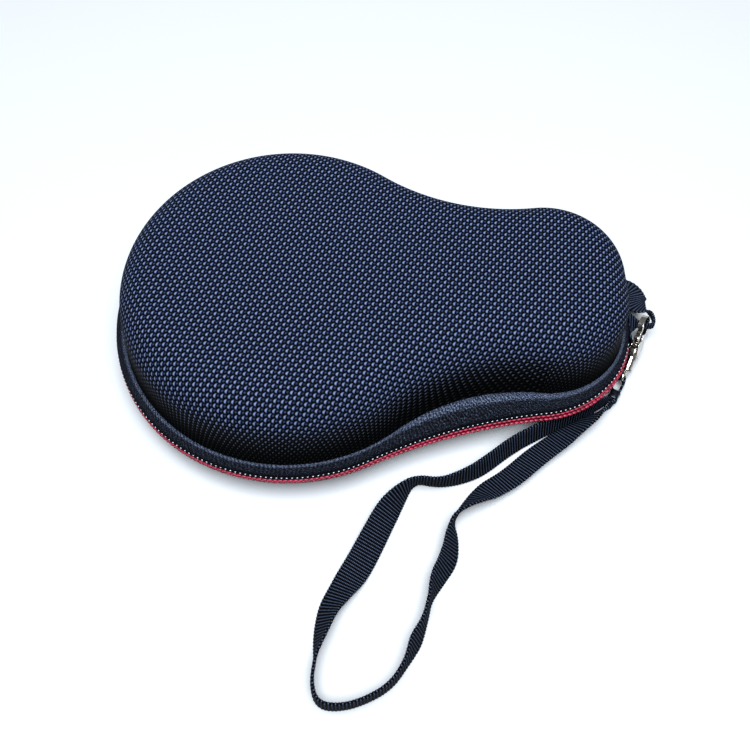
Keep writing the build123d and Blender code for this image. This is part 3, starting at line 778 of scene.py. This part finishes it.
# the lower edge stays this far above the floor, whatever the lean
floor_gap = 0.5
on_edge, laid_flat = np.abs(np.sin(np.radians(knot_leans))), np.abs(np.cos(np.radians(knot_leans)))
knot_heights = floor_gap + on_edge * knot_widths / 2 + laid_flat * strap_thick / 2
strap_line = soft_line(
    "strap_line", [(x * MM, y * MM, z * MM) for (x, y, lean), z in zip(strap_route, knot_heights)]
)
wrist_strap, strap_path = ribbon(
    "strap_webbing_loop", strap_line, along_knots(strap_line, knot_leans),
    along_knots(strap_line, knot_widths), strap_thick, strap_rib,
)
wrist_strap.data.materials.append(strap_webbing)
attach(wrist_strap, "case_base")
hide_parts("wrist_strap")

# the narrow loop that hangs the strap from the swivel's eye
eye_loop_route = [
    (179.6, -45.0, 5.0), (181.4, -41.6, 5.0), (180.2, -37.0, 5.0), (182.6, -32.8, 5.0), (187.0, -30.0, 5.0),
    (189.0, -31.6, 5.0), (187.4, -35.6, 5.0), (184.4, -40.2, 5.0), (181.0, -45.4, 5.0),
]
eye_loop_line = soft_line("eye_loop_line", [tuple(v * MM for v in place) for place in eye_loop_route])
upright, eye_loop_wide, eye_loop_thick = 90.0, 3.0, 1.3
eye_loop = ribbon(
    "eye_webbing_loop", eye_loop_line, np.full(len(eye_loop_line), upright),
    np.full(len(eye_loop_line), eye_loop_wide), eye_loop_thick, strap_rib,
)[0]
eye_loop.data.materials.append(strap_webbing)
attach(eye_loop, "case_base")
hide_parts("strap_eye_loop")

# carry loop: control points x, y, z in millimetres, lean in degrees and width
loop_route = [
    (186.0, 25.0, 15.4, -6, 13.0), (192.4, 25.2, 14.6, -6, 14.5), (198.0, 21.8, 14.1, -6, 15.4),
    (199.6, 13.8, 13.9, -6, 16.2), (203.4, 9.9, 13.9, -24, 11.0), (207.6, 7.8, 13.7, -80, 6.0),
    (208.9, 3.2, 13.6, -84, 4.8), (208.3, -0.9, 13.6, -84, 4.6), (205.6, -1.6, 13.7, -84, 4.5),
    (202.5, -1.2, 13.7, -84, 4.5), (199.2, 0.6, 13.2, -76, 5.4), (195.0, 1.5, 12.0, -20, 12.6),
    (190.5, 1.6, 11.8, -10, 14.0), (185.6, 1.4, 12.0, -10, 14.0),
]
loop_line = soft_line("loop_line", [tuple(v * MM for v in knot[:3]) for knot in loop_route])
carry_loop_thick = 1.4
carry_loop = ribbon(
    "carry_webbing", loop_line, along_knots(loop_line, [knot[3] for knot in loop_route]),
    along_knots(loop_line, [knot[4] for knot in loop_route]), carry_loop_thick, loop_rib,
)[0]
carry_loop.data.materials.append(loop_webbing)
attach(carry_loop, "case_base")
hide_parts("carry_loop")

# ---------------------------------------------------------------- fabric hinge
def plain_finish(name, mottle, stops, bump_depth, stretch=(1.0, 1.0, 1.0), roughness=None, **shader):
    """A finish whose tone and bump follow noise; mottle is the size of its patches in millimetres.

    The patches are drawn much coarser than the real grain, so that they show. roughness is the
    range that a metal's roughness takes over them."""
    made, tree, principled = material(name, **shader)
    place = add(tree, "ShaderNodeTexCoord").outputs["Object"]
    laid = add(tree, "ShaderNodeMapping", {"Vector": place, "Scale": stretch})
    grain = add(tree, "ShaderNodeTexNoise", {"Vector": laid, "Scale": 1 / (mottle * MM), "Detail": 3.0})
    if roughness:
        least, most = roughness
        rough = add(tree, "ShaderNodeMapRange", {"Value": grain, "To Min": least, "To Max": most})
        tree.links.new(rough.outputs[0], principled.inputs["Roughness"])
    surface(tree, principled, add(tree, "ShaderNodeValToRGB", {"Fac": grain}, stops), grain, bump_depth, 0.6)
    return made


# close plain-woven polyester, folded: matt black with paler patches of painted sheen
hinge_cloth = plain_finish(
    "woven_hinge_cloth", 2.381, [(0.35, "020305"), (0.6, "0b0f1a"), (0.75, "262f45")], 0.25,
    Roughness=0.8, Specular_IOR_Level=0.02,
)


def hinge_strip(name, node, bulge, crumple):
    """A strip of cloth across the hinge, bowed outwards and crumpled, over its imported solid's place."""
    low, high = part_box(node)
    spread = np.linspace(0, 1, 61)
    rise = np.linspace(0, 1, 25)
    thick, half_width, drawn_in = 0.6 * MM, 21.0, 0.6
    y = low.y + (high.y - low.y) * spread
    outer, inner = [], []
    for share in rise:
        z = low.z + (high.z - low.z) * share
        # three sets of folds, 1.4 to 4.1 mm to the radian, cross each other aslant
        fold = (
            np.sin(y / MM / 2.3 + share * 5.0) + 0.8 * np.sin(y / MM / 1.4 - share * 9.0 + 1.0)
            + 0.7 * np.sin(share * 14.0 + y / MM / 4.1)
        )
        # the rim rounds off towards its corners, so the strip draws in at its ends
        back = (np.abs(y / MM) / half_width) ** 4 * drawn_in
        x = high.x + (bulge * sin(pi * share) + crumple * fold - back) * MM
        outer.append(np.column_stack([x, y, np.full(len(y), z)]))
        inner.append(np.column_stack([x - thick, y, np.full(len(y), z)]))
    rows = outer + inner[::-1]
    middle = [between(a, b, 0.5) for a, b in zip(rows, rows[::-1])]
    rows = [np.vstack([m[:1], row, m[-1:]]) for m, row in zip(middle, rows)]
    cloth = [np.column_stack([np.arange(len(row)), np.full(len(row), k)]) for k, row in enumerate(rows)]
    cloth.append(cloth[0])
    strip = link(outward(rows_to_mesh(name, rows, cloth, closed_round=False, closed_profile=True)), name)
    strip.data.materials.append(hinge_cloth)
    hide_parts(node)
    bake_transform(strip)


hinge_strip("hinge_cloth_outside", "hinge_outer_strip", 0.9, 0.28)
hinge_strip("hinge_cloth_inside", "hinge_inner_strip", 0.3, 0.05)

# ---------------------------------------------------------------- metals, foam, linings and tapes
# nickel plate over a polished casting: warm mirror glints beside dark reflections
polished_nickel = plain_finish(
    "polished_nickel_plate", 3.846, [(0.3, "9a968f"), (0.7, "cbc7bf")], 0.02,
    roughness=(0.08, 0.2), Metallic=1.0,
)
# black nickel plate over a tumbled casting: near black, with soft cold highlights
gunmetal = plain_finish(
    "gunmetal_plate", 2.0, [(0.3, "0a0c11"), (0.7, "1b202b")], 0.02,
    roughness=(0.2, 0.36), Metallic=0.85,
)
# drawn carbon-steel wire: grey turns, each with one fine highlight
spring_wire = plain_finish(
    "drawn_spring_wire", 1.111, [(0.3, "8f9094"), (0.7, "b8b9bc")], 0.01,
    roughness=(0.2, 0.4), Metallic=1.0,
)
# brass painted black: dark and half glossy
painted_stop = plain_finish(
    "black_painted_brass", 1.4286, [(0.3, "08090c"), (0.7, "17191f")], 0.02,
    roughness=(0.35, 0.5), Metallic=0.3,
)
# moulded foam: matt dark grey with a fine open grain
eva_foam = plain_finish(
    "moulded_eva_foam", 1.111, [(0.3, "141417"), (0.7, "242429")], 0.15,
    Roughness=0.9, Specular_IOR_Level=0.05,
)
# brushed knit: a soft black nap that lies one way
knit_lining = plain_finish(
    "brushed_knit_lining", 0.9091, [(0.38, "07070a"), (0.62, "202026")], 0.3, stretch=(1.0, 2.2, 1.0),
    Roughness=0.95, Specular_IOR_Level=0.03,
)
# woven binding tape: matt black with fine lines across
bound_tape = plain_finish(
    "woven_inner_tape", 0.7692, [(0.38, "050608"), (0.62, "191b21")], 0.2, stretch=(2.0, 1.0, 3.0),
    Roughness=0.9, Specular_IOR_Level=0.03,
)
# woven polyester tape: a close, flat black behind the chain
zipper_tape = plain_finish(
    "polyester_zipper_tape", 0.6667, [(0.3, "040508"), (0.7, "10131b")], 0.15, stretch=(1.0, 1.0, 3.0),
    Roughness=0.9, Specular_IOR_Level=0.03,
)

# ---------------------------------------------------------------- clasp, cast and plated
# places on the clasp are in millimetres: along it from the eye, up from its middle, and across it
clasp_joint = next(joint for joint in frame["joints"] if joint["name"] == "clasp_swing")
lever_joint = next(joint for joint in frame["joints"] if joint["name"] == "lever_pivot")
eye_place = Vector(clasp_joint["pos_m"])
clasp_ahead = Vector(clasp_joint["axis"]).normalized()
clasp_side = -Vector(lever_joint["axis"]).normalized()
clasp_up = clasp_side.cross(clasp_ahead)
clasp_frame = Matrix((clasp_ahead, clasp_up, clasp_side)).transposed().to_4x4()
clasp_frame.translation = eye_place
pivot = clasp_frame.inverted() @ Vector(lever_joint["pos_m"]) / MM
ring_at, ring_outer, ring_inner = 34.9, 6.8, 4.4
casting_half, cheek_from, cheek_to, gate_half = 1.6, 1.55, 3.0, 1.35


def arc(middle, radius, start, stop, count):
    """Points round part of a circle, angles in degrees."""
    return [
        (middle[0] + radius * cos(radians(a)), middle[1] + radius * sin(radians(a)))
        for a in np.linspace(start, stop, count)
    ]


def skin(work, rings, closed=False):
    """Faces over rings of points, capped at the ends unless the rings close up."""
    rings = [[work.verts.new(place) for place in ring] for ring in rings]
    for a, b in zip(rings, rings[1:] + (rings[:1] if closed else [])):
        for k in range(len(a)):
            j = (k + 1) % len(a)
            work.faces.new((a[k], a[j], b[j], b[k]))
    if not closed:
        work.faces.new(rings[0][::-1])
        work.faces.new(rings[-1])


def cast_plate(work, outline, low, high):
    """A solid between two levels across the clasp, from an outline in its own plane."""
    skin(work, [[(x * MM, y * MM, z * MM) for x, y in outline] for z in (low, high)])


def turned(work, profile, segments=28):
    """A solid turned about the clasp's axis from (place, radius) pairs in millimetres."""
    angles = [2 * pi * k / segments for k in range(segments)]
    skin(work, [[(x * MM, r * cos(a) * MM, r * sin(a) * MM) for a in angles] for x, r in profile])


def plated(name, work, place, bevel, finish, body, *nodes):
    """Finish a metal piece: into place, edges rounded, plated, and riding on its body."""
    mesh = bpy.data.meshes.new(name)
    bmesh.ops.recalc_face_normals(work, faces=work.faces)
    work.to_mesh(mesh)
    work.free()
    mesh.transform(place)
    piece = link(mesh)
    rounded = piece.modifiers.new("rounded", "BEVEL")
    rounded.width = bevel * MM
    rounded.segments = 3
    rounded.limit_method = "ANGLE"
    rounded.angle_limit = radians(35)
    rounded.harden_normals = True
    mesh.shade_smooth()
    mesh.materials.append(finish)
    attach(piece, body)
    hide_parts(*nodes)
    return piece


# spine, hook and nose in one casting, with the slot for the gate along the top
middle, nose, nose_radius = (ring_at, 0.0), (ring_at - 2.4, 5.1), 0.9
hook_outline = (
    [(14.0, -2.4), (18.0, -4.2), (24.0, -4.9), (28.0, -5.4)] + arc(middle, ring_outer, -128, 116, 40)
    + arc(nose, nose_radius, 110, 250, 6) + arc(middle, ring_inner, 108, -165, 36)
    + [(28.6, -1.7), (20.6, -1.4), (19.8, 0.4), (19.6, 4.4), (17.8, 4.0), (14.0, 2.4)]
)
hook = bmesh.new()
cast_plate(hook, hook_outline, -casting_half, casting_half)
# a cheek each side carries the gate's pin
cheek_radius = 2.5
cheek = (
    [(16.4, -3.6), (24.6, -4.4), (26.8, -3.2), (27.2, -1.0), (26.0, 1.2)]
    + arc((pivot.x, pivot.y), cheek_radius, 10, 170, 12) + [(17.4, 2.6)]
)
for low, high in ((-cheek_to, -cheek_from), (cheek_from, cheek_to)):
    cast_plate(hook, cheek, low, high)
# the barrel, with a collar at each end
turned(hook, [
    (6.0, 1.9), (6.2, 2.6), (6.9, 3.0), (7.8, 3.0), (8.3, 2.65), (13.0, 2.7), (13.6, 3.1),
    (14.8, 3.2), (16.2, 3.0), (18.0, 2.2),
])
clasp_cast = plated("clasp_casting", hook, clasp_frame, 0.55, polished_nickel, "clasp", "clasp_hook")

# the gate: a boss on the pin, a bar across the mouth and a thumb knob
boss_radius, knob, knob_radius = 1.5, (25.7, 4.3), 1.6
gate_outline = (
    arc((pivot.x, pivot.y), boss_radius, 75, 300, 12)
    + [(24.5, 2.1), (33.0, 2.1), (34.2, 2.6), (34.4, 3.3), (33.4, 3.9), (28.0, 3.9)]
    + arc(knob, knob_radius, 20, 165, 9) + [(23.4, 4.1)]
)
gate = bmesh.new()
cast_plate(gate, gate_outline, -gate_half, gate_half)
clasp_gate = plated("clasp_gate", gate, clasp_frame, 0.4, polished_nickel, "clasp_lever", "clasp_lever")

# the spring under the gate: a coil of round wire
coil_radius, wire_radius, coil_turns, steps, wire_sides = 1.1, 0.28, 3, 22, 8
spring_foot = Vector((pivot.x + 3.2, -1.25, 0.0))
spring_rise = 2.5
wire_rings = []
for step in range(coil_turns * steps + 1):
    about = 2 * pi * step / steps
    height = wire_radius + spring_rise * step / (coil_turns * steps)
    ring = []
    for angle in (2 * pi * k / wire_sides for k in range(wire_sides)):
        reach = coil_radius + wire_radius * cos(angle)
        way = Vector((reach * cos(about), height + wire_radius * sin(angle), reach * sin(about)))
        ring.append((spring_foot + way) * MM)
    wire_rings.append(ring)
spring = bmesh.new()
skin(spring, wire_rings)
gate_spring = plated("gate_spring", spring, clasp_frame, 0.05, spring_wire, "clasp", "clasp_spring")
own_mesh(gate_spring)

# the eye the clasp swivels on: a ring of round wire with a stem into the barrel
eye_middle, eye_radius, eye_wire, eye_steps, eye_sides = 2.6, 2.7, 0.95, 36, 12
wire_rings = []
for about in (2 * pi * step / eye_steps for step in range(eye_steps)):
    ring = []
    for angle in (2 * pi * k / eye_sides for k in range(eye_sides)):
        reach = eye_radius + eye_wire * cos(angle)
        ring.append((
            (eye_middle + reach * cos(about)) * MM, reach * sin(about) * MM, eye_wire * sin(angle) * MM,
        ))
    wire_rings.append(ring)
eye_ring = bmesh.new()
skin(eye_ring, wire_rings, closed=True)
turned(eye_ring, [(5.6, 1.0), (6.4, 1.3), (13.0, 1.3)], 20)
clasp_eye = plated("clasp_swivel_eye", eye_ring, clasp_frame, 0.2, polished_nickel, "case_base", "swivel_eye")

# crimp: a flat tube pressed over the strap's ends, along the way that they leave the eye
crimp_heading, floor_up = Vector((-0.5428, -0.8398, 0.0)), Vector((0, 0, 1))
crimp_frame = Matrix((crimp_heading, floor_up.cross(crimp_heading), floor_up)).transposed().to_4x4()
crimp_frame.translation = eye_place
crimp_half_width, crimp_half_height, crimp_sides = 2.5, 3.0, 32
# how square the pressed tube's sides and its top are: 1 is round, 0 is square
side_round, top_round = 0.55, 0.75


def pressed(way, roundness):
    return np.sign(way) * abs(way) ** roundness


crimp_rows = []
for place, swell in ((9.2, 0.0), (8.9, 0.3), (9.3, 0.6), (11.6, 0.2), (14.1, 0.6), (14.6, 0.3), (14.3, 0.0)):
    ring = []
    for angle in (2 * pi * k / crimp_sides for k in range(crimp_sides)):
        aside = pressed(cos(angle), side_round) * (crimp_half_width + swell)
        up = pressed(sin(angle), top_round) * (crimp_half_height + swell)
        ring.append(crimp_frame @ Vector((place * MM, aside * MM, up * MM)))
    crimp_rows.append(ring)
crimp_cloth = np.zeros((len(crimp_rows) + 1, crimp_sides + 1, 2))
crimp = link(outward(rows_to_mesh("pressed_crimp", crimp_rows, crimp_cloth, closed_profile=True)))
crimp.data.materials.append(gunmetal)
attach(crimp, "case_base")
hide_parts("strap_crimp")

# finishes of the parts that stay as they were packed
packed_finishes = (
    (polished_nickel, ("clasp_lever_pin",)),
    (gunmetal, ("slider_body", "slider_pull")),
    (painted_stop, ("lower_end_stops", "upper_end_stops")),
    (eva_foam, ("lower_foam_shell", "upper_foam_shell")),
    (knit_lining, ("lower_lining", "upper_lining")),
    (bound_tape, ("lower_inner_binding", "upper_inner_binding")),
    (zipper_tape, ("lower_zipper_tape", "upper_zipper_tape")),
)
for finish, nodes in packed_finishes:
    for node in nodes:
        for place in frame["nodes"][node].material_slots:
            place.material = finish

low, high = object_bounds()
